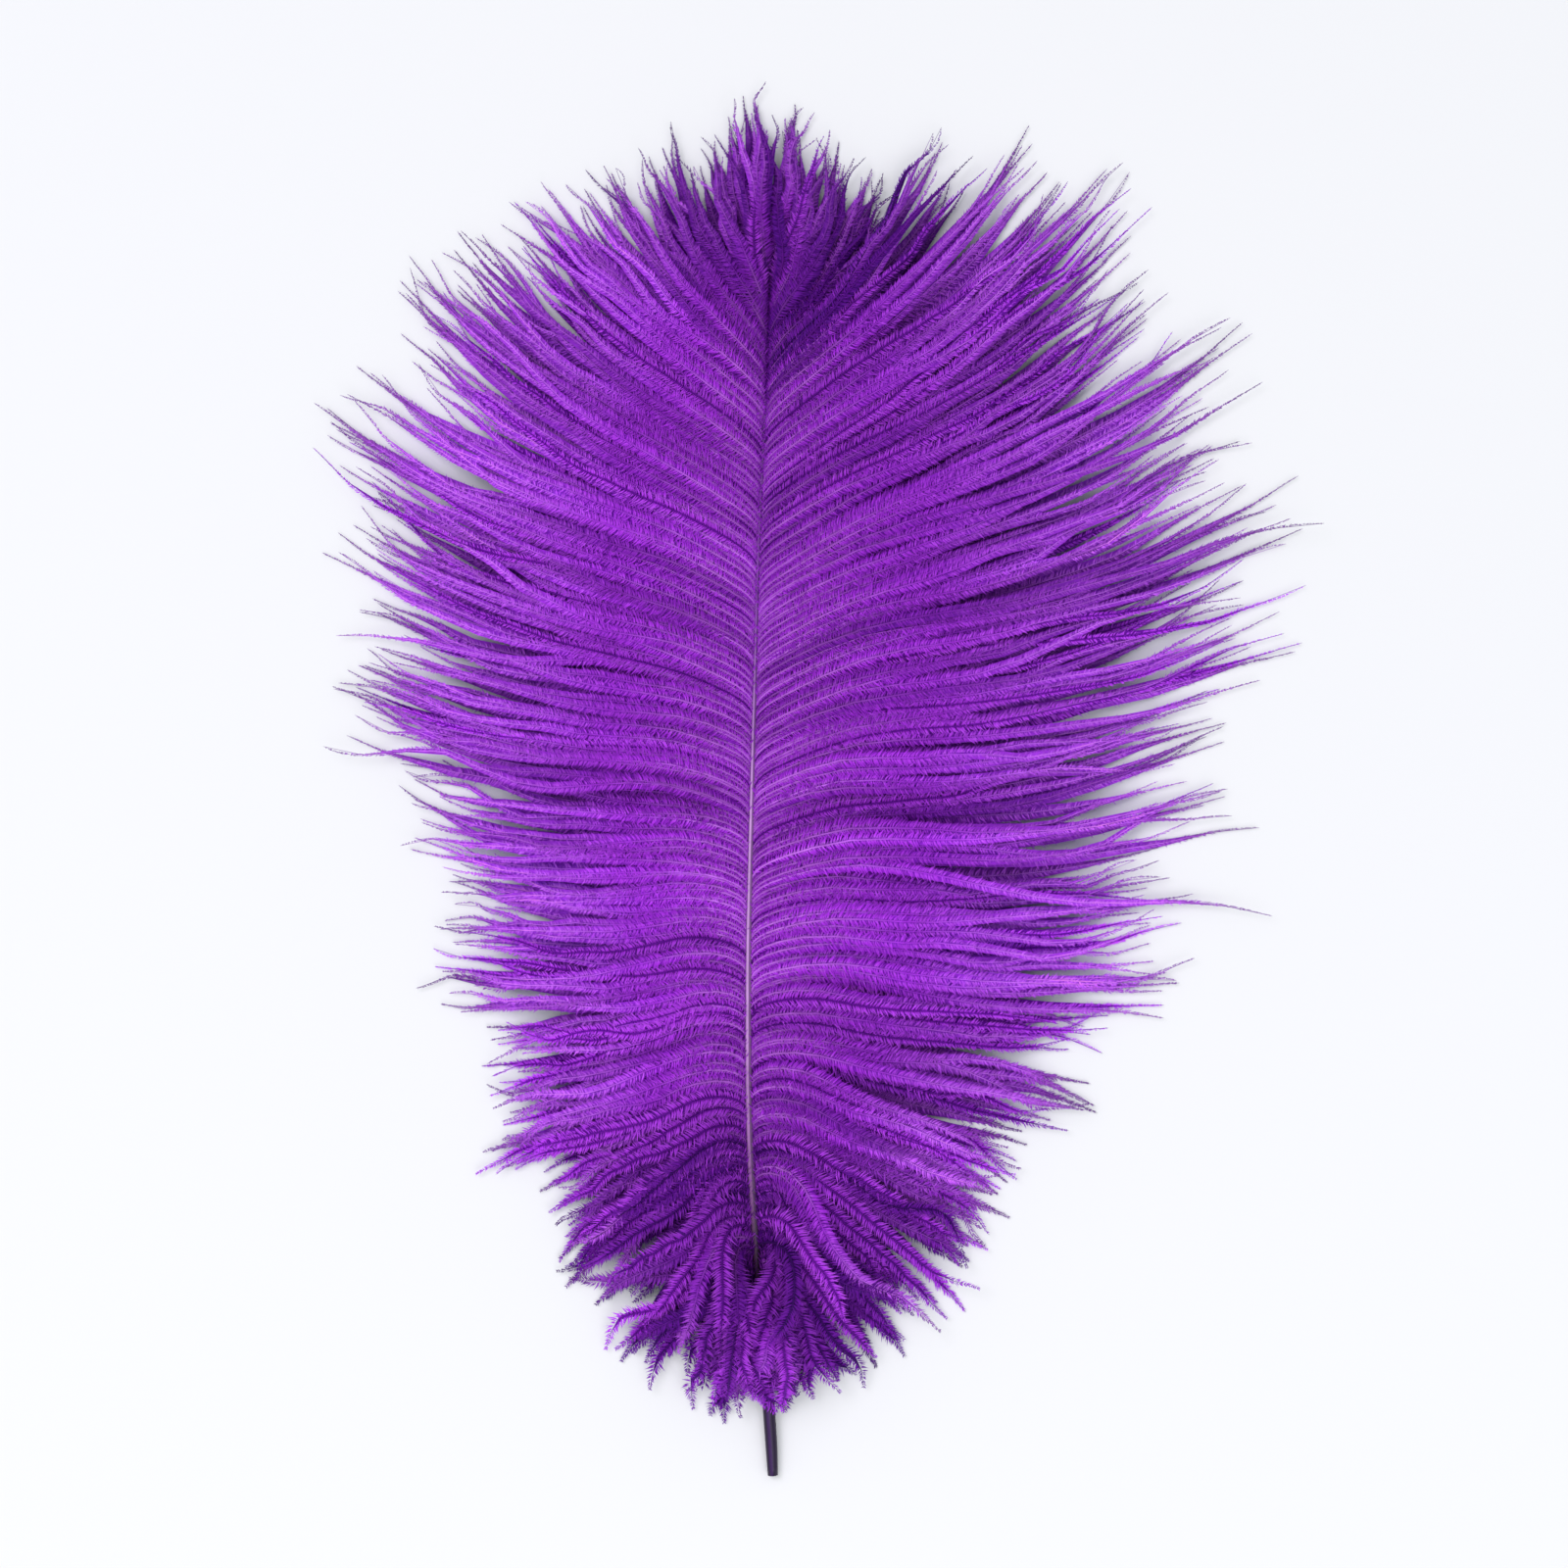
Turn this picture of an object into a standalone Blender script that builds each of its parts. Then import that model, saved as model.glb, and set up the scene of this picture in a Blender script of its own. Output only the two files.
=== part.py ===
"""One large ostrich plume lying on a level surface with its convex side up.

The feather runs along Y, from the cut end of its quill to the tip of its vane. X crosses the vane, Z is up
and the surface is at Z = 0. The origin is on the surface, under the middle of the feather's box.
The shaft is a tapered tube. Locks of barbs grow from it, as many on each side, and each is a pointed blade
that leaves the shaft forwards, arches out and comes to lie on the surface.
"""

import math

import bmesh
import bpy
from mathutils import Vector

MM = 0.001
WELD = 0.01 * MM

# The cut end of the quill, from the middle of the feather's box
QUILL_END_X = -13.0 * MM
QUILL_END_Y = -234.3 * MM

# Millimetres along Y from the cut end, then the shaft's sideways place, height and radius
SHAFT_ROUTE = (
    (0.0, 0.0, 1.6, 1.75),
    (12.0, -0.6, 2.6, 2.05),
    (40.0, -2.6, 6.2, 2.0),
    (80.0, -5.8, 11.4, 1.8),
    (120.0, -7.9, 16.6, 1.55),
    (170.0, -8.2, 22.0, 1.25),
    (205.0, -7.6, 24.8, 1.1),
    (270.0, -5.9, 27.0, 0.85),
    (315.0, -4.6, 25.6, 0.7),
    (358.0, -2.6, 20.6, 0.6),
    (397.0, -1.0, 12.6, 0.5),
    (412.0, -0.2, 9.0, 0.42),
)
SHAFT_POINTS = 26

# Millimetres along Y from the cut end to a lock's root, then its heading in degrees from the shaft at the
# root, on its crown and at its tip, and its length in millimetres on the left and on the right
VANE_FLOW = (
    (46.0, 92.0, 168.0, 184.0, 30.0, 27.0),
    (62.0, 78.0, 152.0, 172.0, 48.0, 44.0),
    (85.0, 68.0, 138.0, 156.0, 76.0, 74.0),
    (110.0, 62.0, 122.0, 134.0, 80.0, 90.0),
    (140.0, 57.0, 109.0, 106.0, 90.0, 112.0),
    (170.0, 53.0, 100.0, 86.0, 104.0, 141.0),
    (205.0, 50.0, 92.0, 75.0, 122.0, 163.0),
    (240.0, 47.0, 85.0, 68.0, 148.0, 180.0),
    (275.0, 45.0, 77.0, 60.0, 152.0, 182.0),
    (305.0, 43.0, 67.0, 52.0, 150.0, 172.0),
    (335.0, 41.0, 58.0, 44.0, 134.0, 158.0),
    (365.0, 36.0, 46.0, 33.0, 106.0, 112.0),
    (388.0, 26.0, 28.0, 16.0, 66.0, 66.0),
    (404.0, 10.0, 8.0, 4.0, 72.0, 66.0),
)
LOCKS_PER_SIDE = 31
FIRST_ROOT = 49.0
LAST_ROOT = 403.0
LOCK_STEPS = 7
STEPS_BETWEEN = 6
CROWN_AT = 0.3
LENGTH_SPREAD = 0.1

# The most that a lock turns from its neighbours' heading, in degrees, by how much of its length the turn
# has set in, and how much of it is gone at the tip of the vane
HEADING_SPREAD = 5.0
TURNED_BY = 0.6
CALM_AT_TIP = 0.7

# How far a lock's crown lifts, how far every second lock lies above the next and how deep its underside
# would sink where it lies on the surface, in millimetres
CROWN_LIFT = 9.0
LAYER_STEP = 2.2
SINK = 0.12
LIES_FLAT_FROM = (LOCK_STEPS - 1) / LOCK_STEPS
CROWN_LEAN = 0.8

# A lock's half width along its length, in millimetres, for a lock that is long enough to have all of it
LOCK_HALF_WIDTH = 9.4
FULL_WIDTH_LENGTH = 90.0
SHORT_WIDTH_SHARE = 0.6
ROOT_WIDTH_SHARE = 0.42
WIDE_FROM = 0.25
POINTING = 4.0
POINT_ROUNDNESS = 0.8
TIP_WIDTH_SHARE = 0.09
LOCK_ROLL = 9.0

# Where each quality of the locks starts in its even spread, and how far apart that is for the two sides
LENGTH_START, LENGTH_SIDE = 0.7, 0.1
TURN_START, TURN_SIDE = 0.2, 0.3
ROLL_START = 0.4

# The lock's section for a half width of one: a low ridge above and a flat underside
LOCK_RIDGE = 0.2
LOCK_UNDERSIDE = -0.13
LOCK_SECTION = (
    (-1.0, 0.0),
    (0.0, LOCK_RIDGE),
    (1.0, 0.0),
    (0.5, LOCK_UNDERSIDE),
    (-0.5, LOCK_UNDERSIDE),
)

# The block that cuts the underside flat
CUTTER_SIDE = 800.0 * MM
CUTTER_DEPTH = 100.0 * MM

VIOLET = (0.2, 0.026, 0.42, 1.0)
ROUGHNESS = 0.75
GOLDEN_SHARE = 0.618034


def smooth_step(share):
    """A slow start and a slow end between 0 and 1, held beyond them."""
    share = min(max(share, 0.0), 1.0)
    return share * share * (3.0 - 2.0 * share)


def read_rows(rows, distance):
    """The values at a distance, on a smooth curve through hand-set rows that each start with a distance."""
    distance = min(max(distance, rows[0][0]), rows[-1][0])
    after = next(i for i in range(1, len(rows)) if distance <= rows[i][0])
    before = after - 1
    low, high = rows[before], rows[after]
    span = high[0] - low[0]
    share = (distance - low[0]) / span

    def slope(index, column):
        left = rows[max(index - 1, 0)]
        right = rows[min(index + 1, len(rows) - 1)]
        return (right[column] - left[column]) / (right[0] - left[0]) * span

    values = []
    for column in range(1, len(low)):
        start, end = low[column], high[column]
        leave, arrive = slope(before, column), slope(after, column)
        curve = start + share * leave
        curve += share**2 * (3 * (end - start) - 2 * leave - arrive)
        curve += share**3 * (2 * (start - end) + leave + arrive)
        values.append(curve)
    return values


def shaft_point(distance):
    """The shaft's centre in metres, and its radius, at a distance in millimetres from the quill's end."""
    sideways, height, radius = read_rows(SHAFT_ROUTE, distance)
    centre = Vector((QUILL_END_X + sideways * MM, QUILL_END_Y + distance * MM, height * MM))
    return centre, radius * MM


def even_spread(number, start):
    """A value from -1 to 1 for a whole number, spread evenly over any run of numbers."""
    return ((number * GOLDEN_SHARE + start) % 1.0) * 2.0 - 1.0


def lock_half_width(share, length):
    """A lock's half width in metres at a share of its length, which widens from the root and ends in a point."""
    widening = ROOT_WIDTH_SHARE + (1.0 - ROOT_WIDTH_SHARE) * smooth_step(share / WIDE_FROM)
    pointing = max(1.0 - share**POINTING, 0.0) ** POINT_ROUNDNESS
    full = SHORT_WIDTH_SHARE + (1.0 - SHORT_WIDTH_SHARE) * smooth_step(length / FULL_WIDTH_LENGTH)
    return LOCK_HALF_WIDTH * MM * full * max(widening * pointing, TIP_WIDTH_SHARE)


def settled(share):
    """How far a lock has come down at a share of its length: 0 at its root, 1 where it lies on the surface."""
    return smooth_step(share / LIES_FLAT_FROM)


def lock_height(share, half_width, root_height, lift):
    """The height in metres of a lock's centre line, from its root over its crown and down to the surface."""
    lying = -LOCK_UNDERSIDE * half_width - SINK * MM
    arch = math.sin(math.pi * min(share / LIES_FLAT_FROM, 1.0) ** CROWN_LEAN)
    return root_height * (1.0 - settled(share)) + lying * settled(share) + lift * MM * arch


def lock_root(number):
    """The distance in millimetres from the quill's end to the root of a lock."""
    return FIRST_ROOT + (LAST_ROOT - FIRST_ROOT) * number / (LOCKS_PER_SIDE - 1)


def lock_length(side, number):
    """A lock's length in millimetres."""
    lengths = read_rows(VANE_FLOW, lock_root(number))[3:]
    length = lengths[0] if side < 0 else lengths[1]
    return length * (1.0 + LENGTH_SPREAD * even_spread(number, LENGTH_START + LENGTH_SIDE * side))


def lock_heading(side, number, share):
    """A lock's heading in radians from the shaft, at a share of its length."""
    root, crown, tip = read_rows(VANE_FLOW, lock_root(number))[:3]
    if share < CROWN_AT:
        heading = root + (crown - root) * smooth_step(share / CROWN_AT)
    else:
        heading = crown + (tip - crown) * smooth_step((share - CROWN_AT) / (1.0 - CROWN_AT))
    along = number / (LOCKS_PER_SIDE - 1)
    turn = HEADING_SPREAD * even_spread(number, TURN_START + TURN_SIDE * side)
    turn *= 1.0 - CALM_AT_TIP * along**3
    return math.radians(heading + turn * smooth_step(share / TURNED_BY))


def lock_path(side, number):
    """The points of a lock's centre line, from inside the shaft to its tip on the surface."""
    length = lock_length(side, number)
    root, _ = shaft_point(lock_root(number))
    lift = CROWN_LIFT + LAYER_STEP * (1 if number % 2 else -1)
    strides = LOCK_STEPS * STEPS_BETWEEN
    points = []
    place = root.copy()
    for stride in range(strides + 1):
        share = stride / strides
        if stride % STEPS_BETWEEN == 0:
            height = lock_height(share, lock_half_width(share, length), root.z, lift)
            points.append(Vector((place.x, place.y, height)))
        heading = lock_heading(side, number, share)
        place.x += side * math.sin(heading) * length * MM / strides
        place.y += math.cos(heading) * length * MM / strides
    return points


def new_collection(name):
    """A collection of this name in the scene."""
    collection = bpy.data.collections.new(name)
    bpy.context.scene.collection.children.link(collection)
    return collection


def section_object(collection):
    """The flat outline that every lock carries along its centre line."""
    outline = bpy.data.curves.new("lock section", "CURVE")
    outline.dimensions = "2D"
    outline.fill_mode = "NONE"
    spline = outline.splines.new("POLY")
    spline.points.add(len(LOCK_SECTION) - 1)
    for point, (across, up) in zip(spline.points, LOCK_SECTION):
        point.co = (across, up, 0.0, 1.0)
    spline.use_cyclic_u = True
    section = bpy.data.objects.new("lock section", outline)
    section.hide_render = True
    section.display_type = "WIRE"
    collection.objects.link(section)
    return section


def curve_object(name, points, radii, collection):
    """A straight-jointed curve through the points, which carries a radius at each of them."""
    curve = bpy.data.curves.new(name, "CURVE")
    curve.dimensions = "3D"
    curve.twist_mode = "Z_UP"
    curve.use_fill_caps = True
    spline = curve.splines.new("POLY")
    spline.points.add(len(points) - 1)
    for point, place, radius in zip(spline.points, points, radii):
        point.co = (*place, 1.0)
        point.radius = radius
    made = bpy.data.objects.new(name, curve)
    collection.objects.link(made)
    return made


def as_mesh(curve_thing):
    """The same shape as a closed mesh object, in place of the curve object."""
    bpy.context.view_layer.update()
    evaluated = curve_thing.evaluated_get(bpy.context.evaluated_depsgraph_get())
    mesh = bpy.data.meshes.new_from_object(evaluated)
    builder = bmesh.new()
    builder.from_mesh(mesh)
    bmesh.ops.remove_doubles(builder, verts=builder.verts, dist=WELD)
    bmesh.ops.recalc_face_normals(builder, faces=builder.faces)
    builder.to_mesh(mesh)
    builder.free()
    name = curve_thing.name
    solid = bpy.data.objects.new(name, mesh)
    solid.matrix_world = curve_thing.matrix_world
    curve_thing.users_collection[0].objects.link(solid)
    curve = curve_thing.data
    bpy.data.objects.remove(curve_thing)
    bpy.data.curves.remove(curve)
    solid.name = name
    return solid


def make_shaft(collection):
    """The quill and the shaft: one round tube that tapers to the tip of the vane."""
    last = SHAFT_ROUTE[-1][0]
    stations = [shaft_point(last * i / (SHAFT_POINTS - 1)) for i in range(SHAFT_POINTS)]
    points = [centre for centre, _ in stations]
    radii = [radius for _, radius in stations]
    tube = curve_object("feather", points, radii, collection)
    tube.data.bevel_depth = 1.0
    tube.data.bevel_resolution = 2
    return as_mesh(tube)


def make_locks(section, collection):
    """The locks of both sides, each a closed blade of its own."""
    for side in (-1, 1):
        for number in range(LOCKS_PER_SIDE):
            points = lock_path(side, number)
            length = lock_length(side, number)
            radii = [lock_half_width(i / LOCK_STEPS, length) for i in range(len(points))]
            name = f"lock {'left' if side < 0 else 'right'} {number + 1}"
            blade = curve_object(name, points, radii, collection)
            blade.data.bevel_mode = "OBJECT"
            blade.data.bevel_object = section
            roll = math.radians(LOCK_ROLL) * even_spread(number, ROLL_START)
            for step, point in enumerate(blade.data.splines[0].points):
                point.tilt = roll * (1.0 - settled(step / LOCK_STEPS))
            solid = as_mesh(blade)
            solid.hide_render = True
            solid.display_type = "WIRE"


def make_ground_cutter(collection):
    """The block whose top is the surface, which cuts flat whatever would sink into it."""
    bpy.ops.mesh.primitive_cube_add(size=1.0, location=(0.0, 0.0, -CUTTER_DEPTH / 2.0))
    block = bpy.context.object
    block.name = "surface cutter"
    block.scale = (CUTTER_SIDE, CUTTER_SIDE, CUTTER_DEPTH)
    bpy.ops.object.transform_apply(location=False, rotation=False, scale=True)
    block.users_collection[0].objects.unlink(block)
    collection.objects.link(block)
    block.hide_render = True
    block.display_type = "WIRE"
    return block


def violet_material():
    """The even violet of the dyed barbs."""
    material = bpy.data.materials.new("violet barbs")
    material.use_nodes = True
    shader = material.node_tree.nodes["Principled BSDF"]
    shader.inputs["Base Color"].default_value = VIOLET
    shader.inputs["Roughness"].default_value = ROUGHNESS
    shader.inputs["Metallic"].default_value = 0.0
    return material


def main():
    """Builds the feather in an emptied scene."""
    for thing in list(bpy.data.objects):
        bpy.data.objects.remove(thing)
    feather_collection = new_collection("Ostrich feather")
    cutters = new_collection("Guides and cutters")
    locks = new_collection("Locks")
    feather = make_shaft(feather_collection)
    make_locks(section_object(cutters), locks)
    feather.data.materials.append(violet_material())
    union = feather.modifiers.new("locks grow from the shaft", "BOOLEAN")
    union.operation = "UNION"
    union.operand_type = "COLLECTION"
    union.collection = locks
    cut = feather.modifiers.new("flat on the surface", "BOOLEAN")
    cut.operation = "DIFFERENCE"
    cut.object = make_ground_cutter(cutters)


if __name__ == "__main__":
    main()
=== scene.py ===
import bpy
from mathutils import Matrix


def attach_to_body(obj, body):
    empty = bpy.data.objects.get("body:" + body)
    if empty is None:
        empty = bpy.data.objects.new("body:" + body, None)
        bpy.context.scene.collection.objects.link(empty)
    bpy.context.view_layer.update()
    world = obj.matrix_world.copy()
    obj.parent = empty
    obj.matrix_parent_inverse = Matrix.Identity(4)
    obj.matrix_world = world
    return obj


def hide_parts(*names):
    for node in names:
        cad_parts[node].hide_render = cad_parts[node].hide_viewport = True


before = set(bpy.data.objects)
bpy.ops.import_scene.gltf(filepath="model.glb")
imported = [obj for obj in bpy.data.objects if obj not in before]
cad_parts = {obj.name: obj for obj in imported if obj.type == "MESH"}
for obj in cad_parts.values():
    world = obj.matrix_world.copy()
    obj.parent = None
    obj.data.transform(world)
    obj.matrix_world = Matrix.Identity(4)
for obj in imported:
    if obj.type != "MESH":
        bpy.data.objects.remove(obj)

"""A large violet ostrich plume lying on a pale surface with its convex side up.

The shaft is a tapered tube. From its two sides grow nearly eight hundred barbs, each a thin curved strand
that leaves the shaft forwards, arches out over a crown and comes down to the surface. Every barb carries
two rows of barbules, and outwards the barbs gather in pointed locks. Lengths are in millimetres until a
mesh is made, and Y runs from the cut end of the quill to the tip of the vane.
"""

import logging
from dataclasses import dataclass, field
from enum import Enum

import bpy
import numpy as np

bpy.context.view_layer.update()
LOG = logging.getLogger("ostrich_feather")
Array = np.ndarray
Tree = bpy.types.NodeTree
Socket = bpy.types.NodeSocket
MM = 0.001
GOLDEN_SHARE = 0.618034
UP = np.array([0.0, 0.0, 1.0])
# Bands on the barbs' map, dark to light by tone and painted shade: even ones have a painted highlight on
# the ramus, odd ones a dark ramus
TONE_ROWS = 24
# The least height of a web or a barbule over the surface
CLEARANCE = 0.2


class Side(Enum):
    """The side of the shaft that a vane grows on, as the sign of X."""

    LEFT = -1
    RIGHT = 1


class Reach(Enum):
    """A stretch of a vane, as shares of the length of all its barbs together."""

    BASE = (0.0, 0.25)
    LOWER = (0.25, 0.5)
    UPPER = (0.5, 0.75)
    HEAD = (0.75, 1.0)


def smooth_step(share: Array) -> Array:
    """A slow start and a slow end between 0 and 1: 3 s squared less 2 s cubed, held beyond them."""
    held = np.clip(share, 0.0, 1.0)
    return held * held * (3.0 - 2.0 * held)


def within(distance: Array, stretch: tuple) -> Array:
    """A smooth step along the shaft, from 0 where the stretch starts to 1 where it ends."""
    return smooth_step((distance - stretch[0]) / (stretch[1] - stretch[0]))


def read_rows(rows: tuple, distance: Array) -> Array:
    """Values at each distance on a smooth curve through given rows.

    Between two rows each value follows a cubic that passes through both and leaves them with the slope
    from the row before to the row after.

    Args:
        rows: Tuples that each start with a distance, in rising order.
        distance: The distances to read, as a flat array.

    Returns:
        One row for each distance and one column for each value of a row.
    """
    table = np.array(rows)
    keys, values = table[:, 0], table[:, 1:]
    held = np.clip(distance, keys[0], keys[-1])
    low = np.clip(np.searchsorted(keys, held, side="left") - 1, 0, len(keys) - 2)
    before = np.maximum(np.arange(len(keys)) - 1, 0)
    after = np.minimum(np.arange(len(keys)) + 1, len(keys) - 1)
    slopes = (values[after] - values[before]) / (keys[after] - keys[before])[:, None]
    span = (keys[low + 1] - keys[low])[:, None]
    share = (held - keys[low])[:, None] / span
    start, end = values[low], values[low + 1]
    leave, arrive = slopes[low] * span, slopes[low + 1] * span
    bend = share**2 * (3.0 * (end - start) - 2.0 * leave - arrive)
    return start + share * leave + bend + share**3 * (2.0 * (start - end) + leave + arrive)


def even_spread(number: Array, start: float) -> Array:
    """Even values from -1 to 1: the fraction of each number times the golden share, doubled, less 1."""
    return ((number * GOLDEN_SHARE + start) % 1.0) * 2.0 - 1.0


def unit(vectors: Array) -> Array:
    """The same directions with a length of one, for vectors along the last axis."""
    return vectors / np.maximum(np.linalg.norm(vectors, axis=-1, keepdims=True), 1e-9)


def strips(first: Array, beside: Array, row: int) -> Array:
    """Two triangles for each square between two rows, from its first point and the one beside that."""
    far = beside + row
    return np.stack([first, beside, far, first, far, first + row], axis=-1).reshape(-1, 3)


def new_piece(name: str, points: Array, faces: Array, chart: Array, smooth: bool) -> bpy.types.Object:
    """Makes a mesh object of triangles from whole arrays.

    Args:
        name: The piece's name.
        points: One row of X, Y and Z in millimetres for each point.
        faces: One row of three point numbers for each triangle.
        chart: One row of two values from 0 to 1 for each corner of each triangle, the piece's own map.
        smooth: True to shade the piece smooth.

    Returns:
        The object, at the origin and linked to the scene.
    """
    mesh = bpy.data.meshes.new(name)
    mesh.vertices.add(len(points))
    mesh.vertices.foreach_set("co", (points * MM).astype(np.float32).ravel())
    mesh.loops.add(faces.size)
    mesh.loops.foreach_set("vertex_index", faces.astype(np.int32).ravel())
    mesh.polygons.add(len(faces))
    mesh.polygons.foreach_set("loop_start", np.arange(0, faces.size, 3, dtype=np.int32))
    layer = mesh.uv_layers.new(name="OFBake")
    layer.data.foreach_set("uv", chart.astype(np.float32).ravel())
    mesh.polygons.foreach_set("use_smooth", np.full(len(faces), smooth))
    mesh.update(calc_edges=True)
    mesh.validate()
    piece = bpy.data.objects.new(name, mesh)
    bpy.context.scene.collection.objects.link(piece)
    return piece


@dataclass(frozen=True)
class ShaftLine:
    """The shaft's centre line, from the cut end of the quill to the tip of the vane."""

    quill_end: tuple = (-13.0, -234.3)
    # Distance along Y from the cut end, then the sideways place, height and radius
    route: tuple = (
        (0.0, 0.0, 1.6, 1.75),
        (12.0, -0.6, 2.6, 2.05),
        (40.0, -2.6, 6.2, 2.0),
        (80.0, -5.8, 11.4, 1.8),
        (120.0, -7.9, 16.6, 1.55),
        (170.0, -8.2, 22.0, 1.25),
        (205.0, -7.6, 24.8, 1.1),
        (270.0, -5.9, 27.0, 0.85),
        (315.0, -4.6, 25.6, 0.7),
        (358.0, -2.6, 20.6, 0.6),
        (397.0, -1.0, 12.6, 0.5),
        (412.0, -0.2, 9.0, 0.42),
    )

    def at(self, distance: Array) -> tuple[Array, Array]:
        """Reads the line.

        Args:
            distance: Distances along Y from the cut end.

        Returns:
            The centres, one row of X, Y and Z each, and the radii.
        """
        sideways, height, radius = read_rows(self.route, distance).T
        x = self.quill_end[0] + sideways
        y = self.quill_end[1] + distance
        return np.stack([x, y, height], axis=1), radius


@dataclass(frozen=True)
class VaneFlow:
    """How the barbs leave the shaft, arch and come down, and how they gather in locks."""

    # Distance along Y to a root, then the heading in degrees from the shaft at the root, on the crown
    # and at the tip, and the length on the left and on the right
    rows: tuple = (
        (46.0, 92.0, 168.0, 184.0, 30.0, 27.0),
        (62.0, 78.0, 152.0, 172.0, 48.0, 44.0),
        (85.0, 68.0, 138.0, 156.0, 76.0, 74.0),
        (110.0, 62.0, 122.0, 134.0, 80.0, 90.0),
        (140.0, 57.0, 109.0, 106.0, 90.0, 112.0),
        (170.0, 53.0, 100.0, 86.0, 104.0, 141.0),
        (205.0, 50.0, 92.0, 75.0, 122.0, 163.0),
        (240.0, 47.0, 85.0, 68.0, 148.0, 180.0),
        (275.0, 45.0, 77.0, 60.0, 152.0, 182.0),
        (305.0, 43.0, 67.0, 52.0, 150.0, 172.0),
        (335.0, 41.0, 58.0, 44.0, 134.0, 158.0),
        (365.0, 36.0, 46.0, 33.0, 106.0, 112.0),
        (388.0, 26.0, 28.0, 16.0, 66.0, 66.0),
        (404.0, 10.0, 8.0, 4.0, 72.0, 66.0),
    )
    locks: int = 31
    first_root: float = 49.0
    last_root: float = 403.0
    crown_at: float = 0.3
    # The bend just off the shaft: degrees, millimetres, how fast it rises, and from which root heading
    # on it is full
    shoulder_turn: float = 30.0
    shoulder_length: float = 8.0
    shoulder_rise: float = 2.5
    full_shoulder: float = 60.0
    crown_lift: float = 9.0
    layer_step: float = 2.2
    arch_power: float = 0.8
    lies_flat_from: float = 6.0 / 7.0
    length_spread: float = 0.1
    heading_spread: float = 5.0
    calm_at_tip: float = 0.7

    def lock_root(self, lock: Array) -> Array:
        """The distance along Y to the roots of locks, given by number."""
        return self.first_root + (self.last_root - self.first_root) * lock / (self.locks - 1)

    def lock_length(self, side: Side, lock: Array) -> Array:
        """The lengths of locks, which vary by a tenth."""
        length = read_rows(self.rows, self.lock_root(lock))[:, 3 if side is Side.LEFT else 4]
        return length * (1.0 + self.length_spread * even_spread(lock, 0.7 + 0.1 * side.value))

    def lock_turn(self, side: Side, lock: Array) -> Array:
        """The degrees that each lock turns from its neighbours' heading, least at the vane's tip."""
        along = lock / (self.locks - 1)
        turn = self.heading_spread * even_spread(lock, 0.2 + 0.3 * side.value)
        return turn * (1.0 - self.calm_at_tip * along**3)

    def plan(self, side: Side, distance: Array, turn: Array, length: Array,
             share: Array, crown_at: Array) -> Array:
        """Strands' ways seen from above, starting from zero.

        The heading eases from the root's to the crown's and then to the tip's, with a turn that sets in
        over twice the way to the crown. A shoulder, a rising line that starts at -1 times a falling
        exponential, less its mean over the length, holds the barb back at the shaft and then bends it
        over quickly. The way is the running sum of steps, each at the mean heading of its two ends.

        Args:
            side: The side of the shaft.
            distance: The distance along Y of each strand's root.
            turn: Degrees added to each strand's heading.
            length: Each strand's length.
            share: One row for each strand, of shares of its length, which may pass 1.
            crown_at: The share of its length at which each strand reaches its crown.

        Returns:
            X and Y for each strand and share.
        """
        root, crown, tip = (column[:, None] for column in read_rows(self.rows, distance)[:, :3].T)
        crown_at = crown_at[:, None]
        rising = root + (crown - root) * smooth_step(share / crown_at)
        falling = (tip - crown) * smooth_step((share - crown_at) / (1.0 - crown_at))
        travelled = share * length[:, None] / self.shoulder_length
        shoulder = (self.shoulder_rise * travelled - 1.0) * np.exp(-travelled)
        shoulder -= (self.shoulder_rise - 1.0) * self.shoulder_length / length[:, None]
        shoulder *= self.shoulder_turn * np.minimum(root / self.full_shoulder, 1.0)
        turned = turn[:, None] * smooth_step(share / (2.0 * crown_at))
        heading = np.radians(rising + falling + shoulder + turned)
        heading[:, 1:] = (heading[:, 1:] + heading[:, :-1]) / 2.0
        stride = np.diff(share, axis=1, prepend=0.0) * length[:, None]
        x = side.value * np.cumsum(np.sin(heading) * stride, axis=1)
        y = np.cumsum(np.cos(heading) * stride, axis=1)
        return np.stack([x, y], axis=2)

    def height(self, share: Array, root: Array, lift: Array, lying: Array) -> Array:
        """Strands' heights: from the root over a crown and down to the surface.

        The root's height gives way to the lying height by a smooth step, and half a sine wave lifts the
        crown between them.

        Args:
            share: One row for each strand, of shares of its length.
            root: Each root's height, as a column.
            lift: How far each crown lifts, as a column.
            lying: The height of each strand where it lies, as a column.

        Returns:
            The heights, shaped as share.
        """
        settled = smooth_step(share / self.lies_flat_from)
        arch = np.sin(np.pi * np.clip(share / self.lies_flat_from, 0.0, 1.0) ** self.arch_power)
        return root * (1.0 - settled) + lying * settled + lift * arch


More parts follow.
